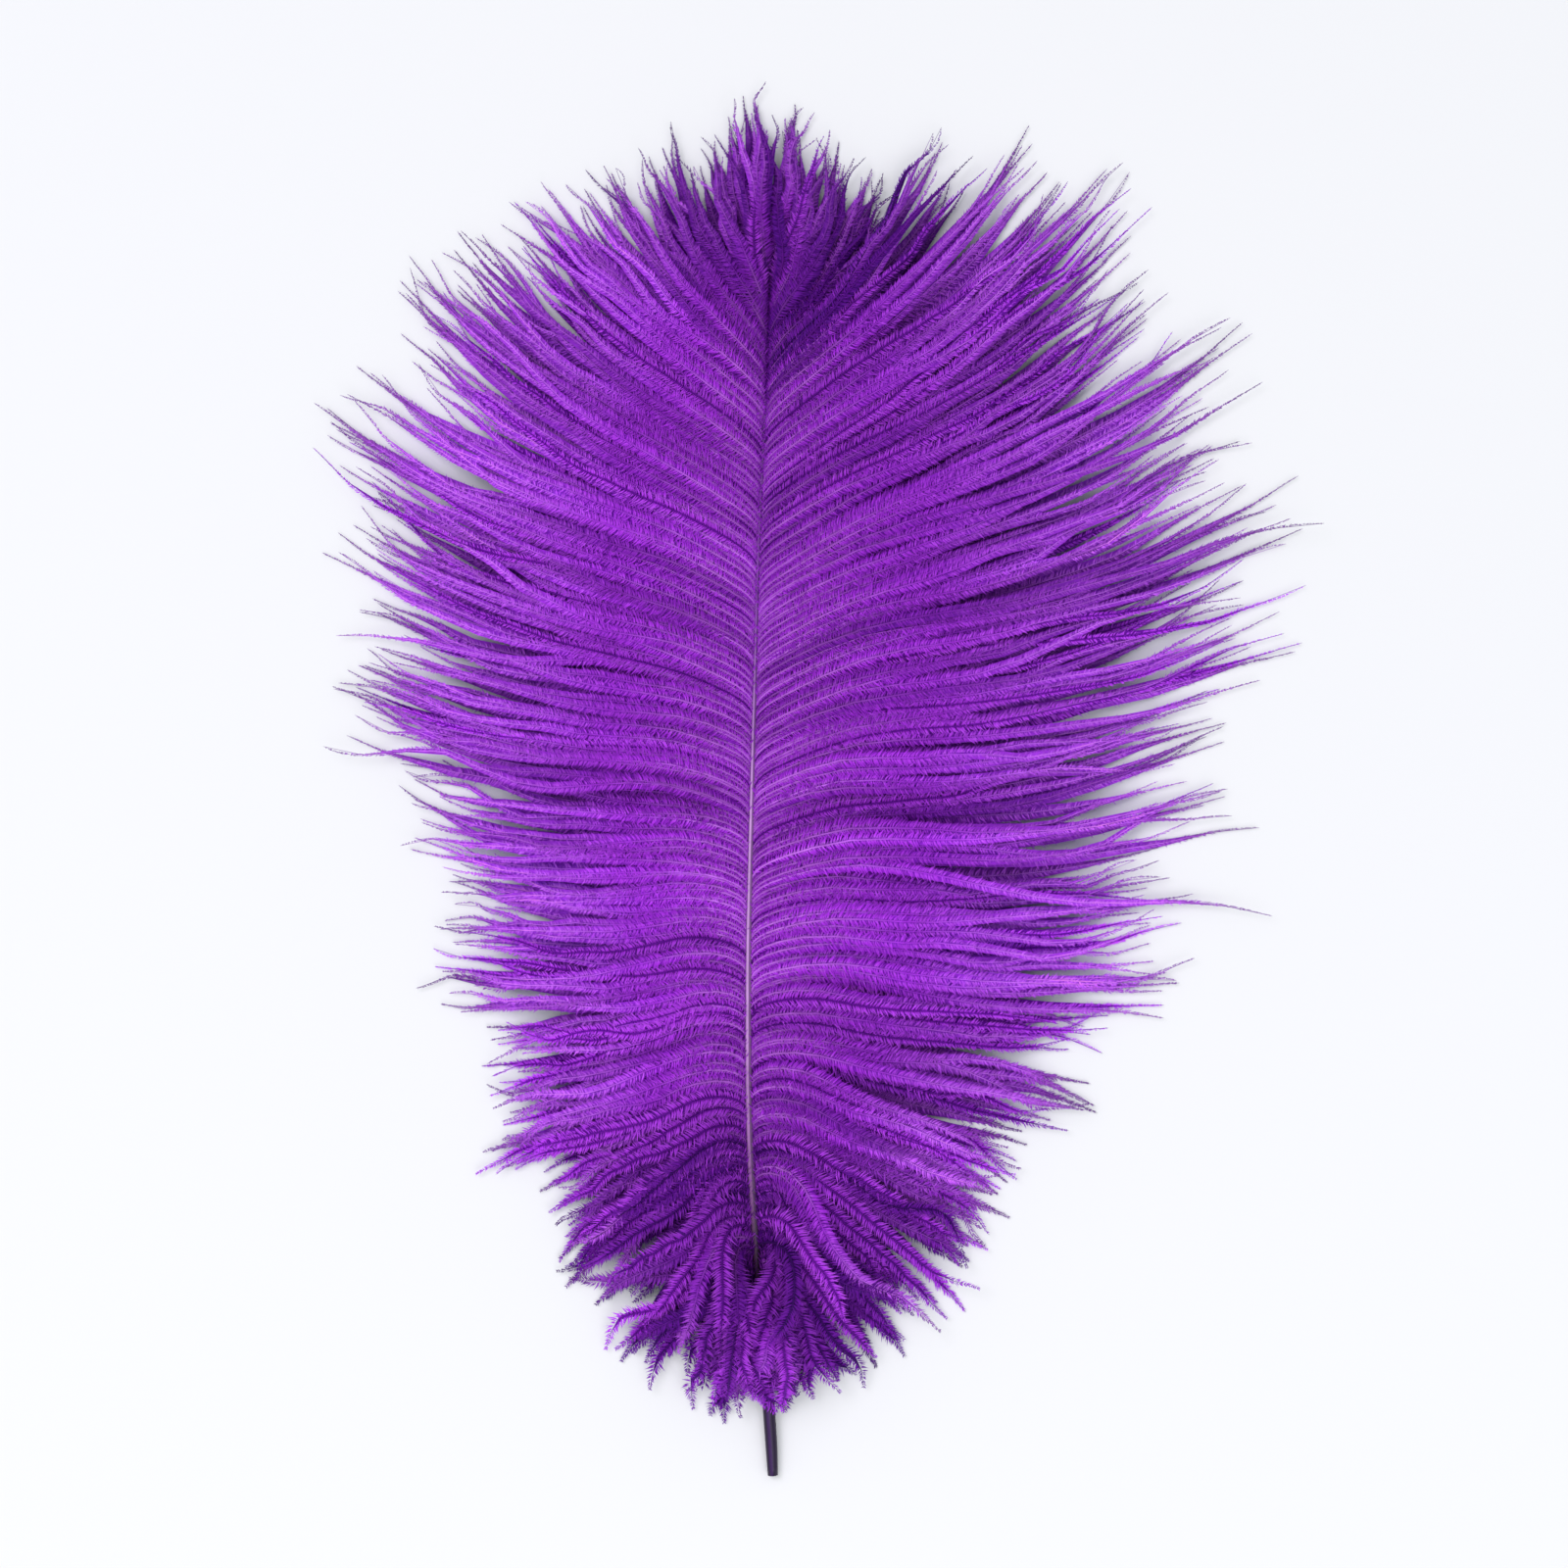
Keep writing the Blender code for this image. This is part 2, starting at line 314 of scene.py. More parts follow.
@dataclass(frozen=True)
class Strand:
    """The sizes of one barb and of its barbules, in millimetres."""

    samples: int = 49
    sample_power: float = 1.1
    # The samples that a ramus and a web pass through, closer at the shaft
    kept: tuple = (0, 1, 2, 3, 5, 8, 12, 16, 20, 24, 28, 32, 36, 40, 44, 48)
    ramus_root_radius: float = 0.3
    ramus_tip_radius: float = 0.07
    ramus_taper: float = 0.8
    web_half_width: float = 1.7
    under_web_half_width: float = 2.9
    web_end: float = 0.05
    # What a web gains on a downy barb, and again towards its end
    web_gain: float = 0.4
    web_drop: float = 1.1
    web_slope: float = 0.5
    barbule_spacing: float = 0.42
    fewest_barbules: int = 8
    barbule_length: float = 4.7
    barbule_spread: tuple = (0.72, 1.15)
    barbule_width: float = 0.56
    barbule_middle: float = 0.4
    tuft_spacing: float = 1.15
    tuft_pull: float = 0.5
    bend: float = 0.25
    sink: float = 0.12
    # How full the barbs below the others are
    under_fullness: float = 0.8
    # Degrees from the barb's way: at the root, what goes by the tip, what a full barb keeps, and chance
    lean: tuple = (70.0, 36.0, 16.0, 6.0)
    # Radians: the droop at the root and what comes on top, the roll's mean and spread, and the least
    # and the most that hanging ones turn down
    droop: tuple = (0.1, 0.42)
    roll: tuple = (-0.08, 0.3)
    hanging_share: float = 0.2
    hanging_roll: tuple = (0.4, 0.9)
    twist_spread: float = 0.4
    # On the map: chance, half a blade's width, and the places of its start, its two sides and its tip,
    # which lies in the painted shade
    chart_spread: float = 0.03
    chart_half_width: float = 0.004
    chart_places: tuple = (0.12, 0.42, 0.42, 0.8)


@dataclass(frozen=True)
class Chance:
    """How barbs differ. Pairs are the least and the most, and turns are in degrees.

    Stray barbs leave their lock and under ones lie below the others. At the base some are loose, and some
    of those cross over their neighbours.
    """

    seed: int = 5
    root_shift: tuple = (-0.3, 0.3)
    length: tuple = (0.86, 1.02)
    stray_gain: float = 0.04
    loose_loss: tuple = (0.0, 0.35)
    turn: float = 3.2
    stray_share: float = 0.12
    stray_turn: float = 7.0
    tip_turn: tuple = (-5.0, 34.0)
    under_turn_kept: float = 0.3
    under_sway_kept: float = 0.4
    crossing_share: float = 0.55
    crossing_turn: tuple = (4.0, 62.0)
    # The mean and the spread
    loose_turn: tuple = (-6.0, 17.0)
    loose_crown: tuple = (0.1, 0.75)
    tied: tuple = (0.3, 0.8)
    least_tied: float = 0.1
    # Sine waves along a barb: the spread of their size, and the fewest and the most turns
    waves: tuple = ((2.3, 1.0, 2.2), (1.15, 2.5, 4.0), (0.4, 5.0, 8.0))
    curl: float = 5.5
    most_curl: float = 9.0
    lift: float = 1.3
    loose_lift: float = 1.5
    crossing_lift: float = 2.0
    under_drop: float = 5.0
    # The shape and the scale of a gamma draw
    lying: tuple = (2.0, 1.1)
    least_lying: float = 1.0
    crossing_lying: tuple = (1.0, 7.0)
    under_lying: tuple = (0.6, 1.6)


@dataclass(frozen=True)
class Tone:
    """How bright barbs are, from 0 to 1, and what is taken from that. Besides random tone it holds
    painted shade on barbs at the base and on those lying low, and a painted lighter left vane.
    """

    middle: float = 0.68
    # Painted light: the left vane is lighter and the right darker, as if lit from the left
    painted_light_side_step: float = 0.05
    wave: float = 0.08
    # Millimetres along the shaft
    wave_lengths: tuple = (9.0, 23.0)
    head_loss: float = 0.3
    # Painted shade: barbs near the base are darker, more on the left vane, and held below a cap there
    base_shade: float = 0.41
    base_shade_side_step: float = 0.07
    base_shade_cap: float = 0.45
    # Painted shade: barbs lying below others, and loose base barbs that don't cross over, are darker
    under_shade: float = 0.5
    loose_loss: float = 0.2
    spread: float = 0.15
    loose_spread: float = 0.1
    # The share of barbs with a dark ramus, and what comes on top where they are downy
    dark_ramus: float = 0.1
    downy_dark_ramus: float = 0.66


@dataclass
class Vane:
    """One side's barbs with their barbules. A stretch is two distances along Y."""

    side: Side
    line: ShaftLine
    flow: VaneFlow
    strand: Strand
    chance: Chance
    tone: Tone
    barbs: int = 396
    first_barb: float = 46.0
    last_barb: float = 407.0
    base_crowding: float = 0.05
    wisps_per_lock: float = 2.6
    # What a wisp keeps of its lock's turn, and the degrees of its own
    wisp_turn: tuple = (0.75, 3.0)
    wisp_gather: float = 0.22
    loose_stretch: tuple = (74.0, 119.0)
    base_stretch: tuple = (60.0, 180.0)
    downy_stretch: tuple = (60.0, 210.0)
    head_stretch: tuple = (270.0, 360.0)
    tip_stretch: tuple = (380.0, 398.0)
    centre: Array = field(init=False)
    row: Array = field(init=False)
    along: Array = field(init=False)
    downy: Array = field(init=False)
    length: Array = field(init=False)
    under: Array = field(init=False)

    def __post_init__(self) -> None:
        """Lays the centre lines of all the side's barbs and gives each its band on the map.

        Each barb's own way eases over to its wisp's as far as the barb is tied, and the wisp's way to the
        middle of its lock. Then the barb sways and gets its height. Its band comes from its tone, which
        holds random differences, a darker head, painted shade on barbs at the base and on those lying low
        and a painted lighter left vane, and from its ramus, which is dark or carries a painted highlight.
        """
        flow, chance, tone = self.flow, self.chance, self.tone
        side, count = self.side.value, self.barbs
        rng = np.random.default_rng(chance.seed + side)
        number = (np.arange(count) + rng.uniform(*chance.root_shift, count)) / (count - 1)
        number = number - self.base_crowding * np.sin(np.pi * np.clip(number / 0.5, 0.0, 1.0))
        distance = self.first_barb + (self.last_barb - self.first_barb) * number
        loose_base = 1.0 - within(distance, self.loose_stretch)
        self.downy = 1.0 - within(distance, self.downy_stretch)
        self.under = np.arange(count) % 3 == 1
        position = (distance - flow.first_root) / (flow.last_root - flow.first_root) * (flow.locks - 1)
        lock = np.clip(np.rint(position), 0, flow.locks - 1)
        stray = rng.random(count) < chance.stray_share
        own_length = rng.uniform(*chance.length, count) + chance.stray_gain * stray
        own_length = own_length - rng.uniform(*chance.loose_loss, count) * loose_base
        share = np.linspace(0.0, 1.0, self.strand.samples)[None, :] ** self.strand.sample_power
        share = share * own_length[:, None]
        length = flow.lock_length(self.side, lock)
        self.length = length * own_length
        turn = flow.lock_turn(self.side, lock)
        wisp_number = np.rint(position * self.wisps_per_lock)
        wisp_turn = self.wisp_turn[0] * turn + self.wisp_turn[1] * even_spread(wisp_number, 0.15)
        own_turn = wisp_turn + rng.normal(0.0, chance.turn, count)
        own_turn = own_turn + rng.normal(0.0, chance.stray_turn, count) * stray
        own_turn -= rng.uniform(*chance.tip_turn, count) * within(distance, self.tip_stretch)
        own_turn = np.where(self.under, chance.under_turn_kept * own_turn, own_turn)
        crossing = (rng.random(count) < chance.crossing_share * loose_base) & ~self.under
        crossing_turn = rng.uniform(*chance.crossing_turn, count)
        own_turn += np.where(crossing, crossing_turn, rng.normal(*chance.loose_turn, count) * loose_base)
        crown_at = flow.crown_at * (1.0 - loose_base * rng.uniform(*chance.loose_crown, count))
        lock_crown = np.full(count, flow.crown_at)
        wisp_root = flow.lock_root(wisp_number / self.wisps_per_lock)
        ways = ((distance, own_turn, crown_at), (wisp_root, wisp_turn, lock_crown),
                (flow.lock_root(lock), turn, lock_crown))
        loose, wisp, middle = (self._roots(at) + flow.plan(self.side, at, bent, length, share, crown)
                               for at, bent, crown in ways)
        tied = np.where(stray | self.under, chance.least_tied, rng.uniform(*chance.tied, count))
        tied = tied * (1.0 - loose_base)
        place = wisp + (middle - wisp) * self.wisp_gather * smooth_step((share - 0.45) / 0.55)[..., None]
        place = loose + (place - loose) * (smooth_step((share - 0.35) / 0.6) * tied[:, None])[..., None]
        sway = self._sway(rng, share) * np.where(self.under, chance.under_sway_kept, 1.0)[:, None]
        place = place + sway[..., None] * self._across(place)
        centre, radius = self.line.at(distance)
        layer = np.where(lock % 2 == 1, 0.7, -0.7) * flow.layer_step
        own_lift = rng.normal(0.0, chance.lift + chance.loose_lift * loose_base, count)
        lift = flow.crown_lift + layer + own_lift + chance.crossing_lift * crossing
        lift = np.where(self.under, flow.crown_lift - chance.under_drop, lift)[:, None]
        lying = chance.least_lying + rng.gamma(*chance.lying, count)
        lying = lying + rng.uniform(*chance.crossing_lying, count) * crossing
        lying = np.where(self.under, rng.uniform(*chance.under_lying, count), lying)[:, None]
        height = flow.height(share, centre[:, 2:3] + 0.35 * radius[:, None], lift, lying)
        self.centre = np.concatenate([place, np.maximum(height, 0.5)[..., None]], axis=2)
        self.along = share / 1.2
        dark_ramus = rng.random(count) < tone.dark_ramus + tone.downy_dark_ramus * self.downy
        at_head = within(distance, self.head_stretch)
        at_base = 1.0 - within(distance, self.base_stretch)
        short, long = tone.wave_lengths
        waves = np.sin(distance / short + side) + np.sin(distance / long)
        # Painted shade on barbs at the base, on those lying below others and on loose ones that don't
        # cross over
        shaded_base = (tone.base_shade - tone.base_shade_side_step * side) * at_base
        uncrossed_shade = np.where(crossing, 0.0, tone.loose_loss)
        covered_shade = np.where(self.under, tone.under_shade, uncrossed_shade) * loose_base
        # The left vane is painted lighter than the right, as if lit from the left
        tone_and_shade = tone.middle - tone.painted_light_side_step * side + tone.wave * waves
        tone_and_shade -= tone.head_loss * at_head + shaded_base + covered_shade
        tone_and_shade += rng.normal(0.0, tone.spread + tone.loose_spread * loose_base, count)
        tone_and_shade = np.minimum(tone_and_shade, 1.0 - tone.base_shade_cap * at_base)
        tones = TONE_ROWS // 2
        self.row = np.clip(np.rint(tone_and_shade * (tones - 1)), 0, tones - 1) * 2 + dark_ramus

    def _roots(self, distance: Array) -> Array:
        """X and Y of roots on the shaft's side, at distances along Y."""
        centre, radius = self.line.at(distance)
        out = np.stack([self.side.value * radius * 0.7, np.zeros_like(radius)], axis=1)
        return (centre[:, :2] + out)[:, None, :]

    def _sway(self, rng: np.random.Generator, share: Array) -> Array:
        """How far each strand sways sideways: three sine waves, slow to quick, and a curl at the end.

        The waves grow with the share to the power 1.3, and the curl with its sixth power.

        Args:
            rng: The source of chance.
            share: One row for each strand, of shares of its length.

        Returns:
            Millimetres, shaped as share.
        """
        count = len(share)
        total = np.zeros_like(share)
        for size, fewest, most in self.chance.waves:
            reach = rng.normal(0.0, size, count)[:, None]
            turns = rng.uniform(fewest, most, count)[:, None]
            phase = rng.uniform(0.0, 2.0 * np.pi, count)[:, None]
            total += reach * share**1.3 * np.sin(phase + 2.0 * np.pi * turns * share)
        limit = self.chance.most_curl
        curl = np.clip(rng.normal(0.0, self.chance.curl, count), -limit, limit)
        return total + curl[:, None] * share**6

    @staticmethod
    def _across(place: Array) -> Array:
        """The unit vector across each strand, seen from above, at each sample."""
        step = np.gradient(place, axis=1)
        return unit(np.stack([-step[..., 1], step[..., 0]], axis=2))

    def _chart(self, along: Array, row: Array, across: Array) -> Array:
        """Places on the map: along the barb, and across its tone's band from the ramus to a tip."""
        band = (row + 0.02 + 0.96 * across) / TONE_ROWS
        return np.stack([np.clip(along, 0.0, 1.0), band], axis=-1)

    def rami(self, chosen: Array) -> tuple[Array, Array, Array]:
        """Three-sided tapered tubes along the chosen barbs, closed at both ends.

        A ring of three points stands square to the way at each kept sample, at the radius there.

        Args:
            chosen: The numbers of the barbs.

        Returns:
            The points, the triangles and the map's corners.
        """
        strand = self.strand
        keep = np.array(strand.kept)
        path = self.centre[chosen][:, keep]
        count, rings = path.shape[:2]
        forward = unit(np.gradient(path, axis=1))
        side = unit(np.cross(UP, forward))
        up = np.cross(forward, side)
        share = (keep / keep[-1])[None, :, None, None]
        radius = strand.ramus_root_radius * (1.0 - share) ** strand.ramus_taper + strand.ramus_tip_radius
        angle = (np.pi / 2.0 + np.arange(3) * 2.0 * np.pi / 3.0)[None, None, :, None]
        around = np.cos(angle) * side[:, :, None] + np.sin(angle) * up[:, :, None]
        points = (path[:, :, None] + radius * around).reshape(-1, 3)
        barb, step, corner = np.indices((count, rings - 1, 3))
        base = (barb * rings + step) * 3
        sides = strips(base + corner, base + (corner + 1) % 3, 3)
        first = (np.arange(count) * rings * 3)[:, None]
        last = first + (rings - 1) * 3
        caps = np.concatenate([first + [0, 2, 1], last + [0, 1, 2]])
        faces = np.concatenate([sides, caps])
        along = np.repeat(self.along[chosen][:, keep].reshape(-1), 3)
        row = np.repeat(self.row[chosen], rings * 3)
        # On even bands the ramus takes the painted highlight, on odd ones the dark ramus
        across = np.tile([0.0, 0.05, 0.1], count * rings)
        return points, faces, self._chart(along, row, across)[faces]

    def webs(self, chosen: Array) -> tuple[Array, Array, Array]:
        """Narrow roofs under the chosen barbs, where the shortest barbules lie closed up.

        A row of three points, the outer two lower than the middle one, follows each barb a little below
        it, and narrows to almost nothing before the barb's tip. Their dark colour is painted shade
        between the barbs.

        Args:
            chosen: The numbers of the barbs.

        Returns:
            The points, the triangles and the map's corners.
        """
        strand = self.strand
        keep = np.array(strand.kept[:-1])
        path = self.centre[chosen][:, keep]
        count, rows = path.shape[:2]
        across = self._across(path[..., :2])
        share = (keep / keep[-1])[None, :]
        downy = self.downy[chosen][:, None]
        widest = np.where(self.under[chosen], strand.under_web_half_width, strand.web_half_width)
        gain = 1.0 + strand.web_gain * downy + strand.web_gain * share
        half = widest[:, None] * gain * (1.0 - share**3) + strand.web_end
        points = np.repeat(path[:, :, None], 3, axis=2)
        points[..., :2] += (half[..., None] * np.array([-1.0, 0.0, 1.0]))[..., None] * across[:, :, None]
        slope = strand.web_slope * np.array([1.0, 0.0, 1.0])
        points[..., 2] -= strand.web_drop + half[..., None] * slope
        points[..., 2] = np.maximum(points[..., 2], CLEARANCE)
        barb, step, left = np.indices((count, rows - 1, 2))
        first = (barb * rows + step) * 3 + left
        faces = strips(first, first + 1, 3)
        along = np.repeat(self.along[chosen][:, keep].reshape(-1), 3)
        row = np.repeat(self.row[chosen], rows * 3)
        # On the map the webs lie in the painted shade past the barbules' tips
        chart = self._chart(along, row, np.tile([0.97, 0.85, 0.91], count * rows))
        return points.reshape(-1, 3), faces, chart[faces]

    def barbules(self, chosen: Array) -> tuple[Array, Array, Array]:
        """Bent pointed blades in two rows along the chosen barbs.

        Each blade starts on the ramus, is widest before its middle, and ends in a point that bends
        towards the barb's tip. Neighbours lean together in small tufts, and some hang down.

        Args:
            chosen: The numbers of the barbs.

        Returns:
            The points, the triangles and the map's corners.
        """
        rng = np.random.default_rng(self.chance.seed * 7 + int(chosen[0]) + self.side.value)
        strand = self.strand
        count = (self.length[chosen] / strand.barbule_spacing).astype(int)
        count = np.maximum(count, strand.fewest_barbules)
        barb = np.repeat(np.arange(len(chosen)), count)
        order = np.arange(count.sum()) - np.repeat(np.cumsum(count) - count, count)
        share = 0.01 + 0.985 * (order + rng.uniform(0.0, 1.0, len(order))) / count[barb]
        barb, share = np.tile(barb, 2), np.tile(share, 2)
        hand = np.repeat([-1.0, 1.0], len(order))
        total = len(share)
        where = share * (strand.samples - 1)
        low = np.minimum(where.astype(int), strand.samples - 2)
        part = (where - low)[:, None]
        path, along = self.centre[chosen], self.along[chosen]
        start = path[barb, low] * (1.0 - part) + path[barb, low + 1] * part
        forward = unit(path[barb, low + 1] - path[barb, low])
        side = unit(np.cross(UP, forward)) * hand[:, None]
        up = unit(np.cross(forward, side) * hand[:, None])
        downy = self.downy[chosen][barb]
        fading = 1.0 - smooth_step((share - 0.6) / 0.3)
        full = np.maximum(downy, strand.under_fullness * self.under[chosen][barb] * fading)
        size = strand.barbule_length * self._barbule_share(share, full)
        size = size * rng.uniform(*strand.barbule_spread, total)
        hanging = rng.random(total) < strand.hanging_share
        droop = strand.droop[0] + strand.droop[1] * smooth_step((share - 0.35) / 0.4)
        roll = rng.normal(*strand.roll, total) - droop * (1.0 - downy)
        roll -= hanging * rng.uniform(*strand.hanging_roll, total)
        at_root, lost, kept, spread = strand.lean
        lean = at_root - (lost - kept * full) * share**1.8 + rng.normal(0.0, spread, total)
        lean = np.radians(lean)
        outward = side * np.cos(roll)[:, None] + up * np.sin(roll)[:, None]
        heading = forward * np.cos(lean)[:, None] + outward * np.sin(lean)[:, None]
        travelled = share * self.length[chosen][barb]
        tuft = (np.floor(travelled / strand.tuft_spacing) + 0.5) * strand.tuft_spacing
        pull = strand.tuft_pull * (tuft - travelled) / strand.tuft_spacing
        bend = forward * (strand.bend + pull)[:, None]
        tip_heading = unit(heading + bend - strand.sink * UP)
        across = unit(forward - (forward * heading).sum(1, keepdims=True) * heading)
        twist = rng.normal(0.0, strand.twist_spread, total)[:, None]
        across = across * np.cos(twist) + np.cross(heading, across) * np.sin(twist)
        width = strand.barbule_width * (0.6 + 0.4 * size / strand.barbule_length)
        middle = start + heading * (size * strand.barbule_middle)[:, None]
        half = across * (width * 0.5)[:, None]
        tip = middle + tip_heading * (size * (1.0 - strand.barbule_middle))[:, None]
        corners = np.stack([start, middle - half, middle + half, tip], axis=1)
        corners[..., 2] = np.maximum(corners[..., 2], CLEARANCE)
        upwards = np.cross(middle + half - start, middle - half - start)[:, 2] > 0.0
        blade = np.where(upwards[:, None], [0, 2, 1, 1, 2, 3], [0, 1, 2, 2, 1, 3])
        faces = (np.arange(total)[:, None] * 4 + blade).reshape(-1, 3)
        at = along[barb, low] * (1.0 - part[:, 0]) + along[barb, low + 1] * part[:, 0]
        at = at + rng.normal(0.0, strand.chart_spread, total)
        edge = strand.chart_half_width
        places = np.stack([at, at - edge, at + edge, at], axis=1).reshape(-1)
        row = np.repeat(self.row[chosen][barb], 4)
        chart = self._chart(places, row, np.tile(strand.chart_places, total))
        return corners.reshape(-1, 3), faces, chart[faces]

    @staticmethod
    def _barbule_share(share: Array, full: Array) -> Array:
        """A barbule's length beside the longest: short at the root, long on the crown, least at the tip.

        Three smooth steps are multiplied: up over the first fifth, down beyond it, and down at the end.

        Args:
            share: How far along the barb each barbule grows.
            full: How full each barbule's barb is, from 0 to 1.

        Returns:
            A share for each barbule.
        """
        rising = 0.35 + 0.3 * full + (0.65 - 0.3 * full) * smooth_step(share / 0.2)
        falling = 1.0 - (0.48 - 0.38 * full) * smooth_step((share - 0.2) / 0.65)
        ending = 1.0 - 0.75 * smooth_step((share - 0.82) / 0.18)
        return rising * falling * ending * (0.84 + 0.22 * full)

    def piece(self, reach: Reach) -> bpy.types.Object:
        """Makes the mesh of one stretch of the vane.

        Args:
            reach: Which stretch.

        Returns:
            The piece, with rami, webs and barbules in one mesh.
        """
        passed = np.cumsum(self.length) / self.length.sum()
        low, high = reach.value
        chosen = np.flatnonzero((passed > low) & (passed <= high))
        parts = (self.rami(chosen), self.webs(chosen), self.barbules(chosen))
        starts = np.cumsum([0] + [len(part[0]) for part in parts])
        points = np.concatenate([part[0] for part in parts])
        faces = np.concatenate([part[1] + start for part, start in zip(parts, starts)])
        chart = np.concatenate([part[2] for part in parts])
        name = f"{self.side.name.lower()}_vane_{reach.name.lower()}"
        return new_piece(name, points, faces, chart, False)


@dataclass(frozen=True)
class Shaft:
    """The quill and the shaft: a tapered tube with a shallow furrow along its top and a cut end."""

    line: ShaftLine
    rings: int = 150
    sides: int = 24
    furrow: float = 0.16
    # Along Y, where the furrow and the widening set in
    furrow_stretch: tuple = (60.0, 100.0)
    furrow_sharpness: int = 8
    widening: float = 0.05
    cup_depth: float = 1.6
    wall_share: float = 0.66

    def build(self) -> bpy.types.Object:
        """Makes the tube.

        A section that is a circle, a little flattened, with a cosine furrow on top is carried along the
        centre line. At the cut end it steps in to a shallow cup, and the far end closes in a point.

        Returns:
            The piece.
        """
        distance = np.linspace(0.0, self.line.route[-1][0], self.rings)
        centre, radius = self.line.at(distance)
        forward = unit(np.gradient(centre, axis=0))
        side = unit(np.cross(forward, UP))
        up = np.cross(side, forward)
        angle = np.arange(self.sides) * 2.0 * np.pi / self.sides
        ahead = within(distance, self.furrow_stretch)[:, None]
        top = np.clip(np.sin(angle), 0.0, 1.0) ** self.furrow_sharpness
        stretch = 1.0 - self.furrow * ahead * top[None, :]
        across = radius[:, None] * np.cos(angle)[None, :] * (1.0 + self.widening * ahead)
        rise = radius[:, None] * np.sin(angle)[None, :] * stretch
        ring = centre[:, None] + across[..., None] * side[:, None] + rise[..., None] * up[:, None]
        ring[..., 2] = np.maximum(ring[..., 2], 0.0)
        rim = centre[0] + (ring[0] - centre[0]) * self.wall_share
        floor = rim + forward[0] * self.cup_depth
        rows = np.concatenate([floor[None], rim[None], ring], axis=0)
        bottom = floor.mean(axis=0)[None]
        end = (centre[-1] + forward[-1] * radius[-1])[None]
        points = np.concatenate([rows.reshape(-1, 3), bottom, end])
        row, corner = np.indices((len(rows) - 1, self.sides))
        base = row * self.sides
        sides = strips(base + corner, base + (corner + 1) % self.sides, self.sides)
        turn = np.arange(self.sides)
        following = (turn + 1) % self.sides
        last = (len(rows) - 1) * self.sides
        cup = np.stack([following, turn, np.full(self.sides, len(points) - 2)], axis=1)
        point = np.stack([last + turn, last + following, np.full(self.sides, len(points) - 1)], axis=1)
        faces = np.concatenate([sides, cup, point])
        along = np.concatenate([np.repeat(np.linspace(0.0, 1.0, len(rows)), self.sides), [0.0, 1.0]])
        around = np.concatenate([np.tile(np.arange(self.sides) / self.sides, len(rows)), [0.5, 0.5]])
        return new_piece("shaft", points, faces, np.stack([along, around], axis=1)[faces], True)


def node(tree: Tree, kind: str, inputs: dict | None = None, **values: object) -> bpy.types.Node:
    """Adds a shader node.

    Args:
        tree: The node tree.
        kind: The node's type name.
        inputs: Values or output sockets for its inputs, by name or number.
        **values: The node's own settings.

    Returns:
        The node.
    """
    made = tree.nodes.new(kind)
    for name, value in values.items():
        setattr(made, name, value)
    for name, value in (inputs or {}).items():
        if isinstance(value, Socket):
            tree.links.new(value, made.inputs[name])
        else:
            made.inputs[name].default_value = value
    return made


def ramp(tree: Tree, factor: Socket, stops: tuple) -> Socket:
    """A colour ramp.

    Args:
        tree: The node tree.
        factor: What it reads.
        stops: A position and a colour for each stop.

    Returns:
        Its colour.
    """
    made = node(tree, "ShaderNodeValToRGB", {"Fac": factor})
    elements = made.color_ramp.elements
    while len(elements) < len(stops):
        elements.new(0.5)
    for element, (position, colour) in zip(elements, stops):
        element.position = position
        element.color = (*colour, 1.0)
    return made.outputs["Color"]


def calc(tree: Tree, operation: str, *values: object) -> Socket:
    """The result of one step of arithmetic on numbers."""
    return node(tree, "ShaderNodeMath", dict(enumerate(values)), operation=operation).outputs[0]


def tinted(tree: Tree, colour: object, tint: object) -> Socket:
    """A colour times a colour."""
    return node(tree, "ShaderNodeVectorMath", {0: colour, 1: tint}, operation="MULTIPLY").outputs[0]


def scaled(tree: Tree, colour: object, factor: object) -> Socket:
    """A colour times a number."""
    inputs = {0: colour, "Scale": factor}
    return node(tree, "ShaderNodeVectorMath", inputs, operation="SCALE").outputs[0]


def mixed(tree: Tree, factor: object, first: object, second: object) -> Socket:
    """The first colour where the factor is 0, and the second where it is 1."""
    return node(tree, "ShaderNodeMix", {0: factor, 6: first, 7: second}, data_type="RGBA").outputs[2]


def mapped(tree: Tree, value: object, *ends: float) -> Socket:
    """A number carried from the range between the first two ends to the next two's, or to 0 to 1."""
    return node(tree, "ShaderNodeMapRange", {0: value, **dict(enumerate(ends, 1))}).outputs[0]


def parts_of(tree: Tree, place: object) -> bpy.types.NodeOutputs:
    """The X, Y and Z of a place."""
    return node(tree, "ShaderNodeSeparateXYZ", {0: place}).outputs


def dyed(tree: Tree, dye: Tree, colour: Socket, place: Socket, scale: float, strength: float) -> Socket:
    """A colour after the dye group, which reads the place."""
    inputs = {"Color": colour, "Place": place, "Scale": scale, "Strength": strength}
    return node(tree, "ShaderNodeGroup", inputs, node_tree=dye).outputs[0]


def new_material(name: str) -> tuple[bpy.types.Material, Tree, bpy.types.Node]:
    """A material, with its node tree and its surface shader."""
    material = bpy.data.materials.new(name)
    material.use_nodes = True
    return material, material.node_tree, material.node_tree.nodes["Principled BSDF"]


